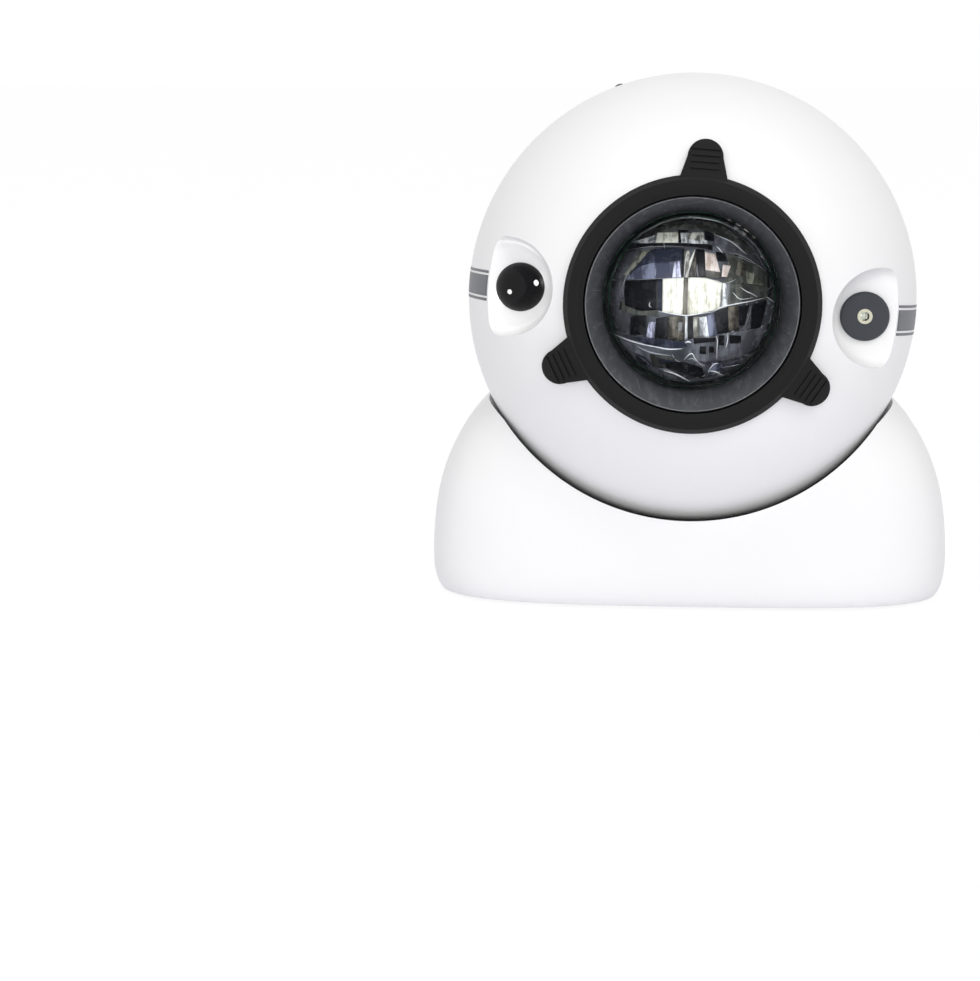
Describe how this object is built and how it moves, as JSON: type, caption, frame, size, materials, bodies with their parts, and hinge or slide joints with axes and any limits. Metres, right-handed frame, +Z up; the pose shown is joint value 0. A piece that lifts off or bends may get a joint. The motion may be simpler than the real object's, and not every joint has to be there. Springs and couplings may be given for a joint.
{
  "type": "planetarium projector",
  "caption": "Ball-shaped planetarium projector with a black focus ring and clear dome lens, held by a magnet in the cradle of a wide white base.",
  "frame": {"origin": "where the ball's vertical turning axis meets the surface that the base stands on", "axes": "+Z up, the lens looks along -Y, +X to the right seen from in front"},
  "size_m": [0.1631, 0.1376, 0.163],
  "materials": {
    "white_plastic": "satin moulded white",
    "grey_plastic": "fine moulded grain",
    "dark_rubber": "matt rubber",
    "steel": "plain steel",
    "screw_steel": "bright zinc plate",
    "magnet": "nickel plate",
    "black_plastic": "fine moulded grain",
    "circuit_board": "green solder mask",
    "raw_aluminium": "extruded aluminium",
    "led_phosphor": "phosphor over the chip",
    "mirror_cup": "vacuum-plated cup",
    "slate_plastic": "satin slate",
    "gold_trim": "pale gold plate",
    "glossy_black": "polished black",
    "ring_black": "satin black",
    "smoke_edge": "smoky grey",
    "smoky_bezel": "smoky, half gloss",
    "clear_lens": "clear, polished",
    "ripple_glass": "rippled clear plastic",
    "gear_plastic": "natural acetal",
    "button_grey": "satin dark grey"
  },
  "bodies": {
    "base": {"base_shell": "white_plastic", "base_plate": "grey_plastic", "rubber_pad": "dark_rubber", "ballast": "steel", "base_screws": "screw_steel", "pivot_screw": "screw_steel"},
    "swivel": {"swivel_dish": "grey_plastic", "dish_pad": "dark_rubber", "magnet_ring": "magnet"},
    "head": {"front_shell": "white_plastic", "rear_shell": "white_plastic", "button_switches": "black_plastic", "switch_strip": "circuit_board", "optics_frame": "black_plastic", "frame_screws": "screw_steel", "heat_sink": "raw_aluminium", "led_board": "circuit_board", "led_emitters": "led_phosphor", "reflector": "mirror_cup", "sink_screws": "screw_steel", "spindle": "steel", "spindle_clip": "screw_steel", "ripple_motor": "steel", "laser_bezel": "slate_plastic", "aperture_ring": "gold_trim", "laser_module": "gold_trim", "laser_holder": "black_plastic", "holder_screws": "screw_steel", "star_motor": "steel", "receiver_dome": "glossy_black", "receiver_board": "circuit_board", "infrared_sensor": "glossy_black", "main_board": "circuit_board", "board_components": "black_plastic", "board_screws": "screw_steel", "usb_socket": "screw_steel", "shell_screws": "screw_steel", "keeper_plate": "steel"},
    "focus": {"focus_ring": "ring_black", "ring_retainer": "black_plastic"},
    "barrel": {"lens_barrel": "smoke_edge", "lens_bezel": "smoky_bezel", "dome_lens": "clear_lens"},
    "ripple": {"ripple_disc": "ripple_glass"},
    "pinion": {"motor_pinion": "gear_plastic"},
    "grating": {"grating_disc": "ripple_glass"},
    "power": {"power_button": "button_grey"},
    "mode": {"mode_button": "button_grey"},
    "timer": {"timer_button": "button_grey"}
  },
  "joints": [
    {"name": "head_pan", "type": "hinge", "parent": "base", "child": "swivel", "pos_m": [0, 0, 0.0156], "axis": [0, 0, 1], "range_deg": [-35, 35]},
    {"name": "head_tilt", "type": "hinge", "parent": "swivel", "child": "head", "pos_m": [0, 0, 0.093], "axis": [-1, 0, 0], "range_deg": [-5, 70]},
    {"name": "focus_turn", "type": "hinge", "parent": "head", "child": "focus", "pos_m": [0, -0.06182, 0.09765], "axis": [0, -0.9972, 0.075], "range_deg": [0, 60]},
    {"name": "barrel_travel", "type": "slide", "parent": "head", "child": "barrel", "axis": [0, -0.9972, 0.075], "range_m": [0, 0.003]},
    {"name": "ripple_spin", "type": "hinge", "parent": "head", "child": "ripple", "pos_m": [0, -0.01855, 0.0944], "axis": [0, -0.9972, 0.075], "continuous": true},
    {"name": "pinion_spin", "type": "hinge", "parent": "head", "child": "pinion", "pos_m": [0.02034, -0.01632, 0.12402], "axis": [0, -0.9972, 0.075], "continuous": true},
    {"name": "grating_spin", "type": "hinge", "parent": "head", "child": "grating", "pos_m": [0.04525, -0.02908, 0.08365], "axis": [0, -0.9972, 0.075], "continuous": true},
    {"name": "power_press", "type": "slide", "parent": "head", "child": "power", "axis": [0.334, -0.1642, -0.9282], "range_m": [0, 0.0006], "stiffness_N_per_m": 600},
    {"name": "mode_press", "type": "slide", "parent": "head", "child": "mode", "axis": [0.3225, -0.3428, -0.8823], "range_m": [0, 0.0006], "stiffness_N_per_m": 600},
    {"name": "timer_press", "type": "slide", "parent": "head", "child": "timer", "axis": [0.2999, -0.5097, -0.8064], "range_m": [0, 0.0006], "stiffness_N_per_m": 600}
  ],
  "couplings": [
    {"joint": "focus_turn", "follows": "barrel_travel", "rad_per_m": 349.07},
    {"joint": "pinion_spin", "follows": "ripple_spin", "ratio": -2.6}
  ]
}
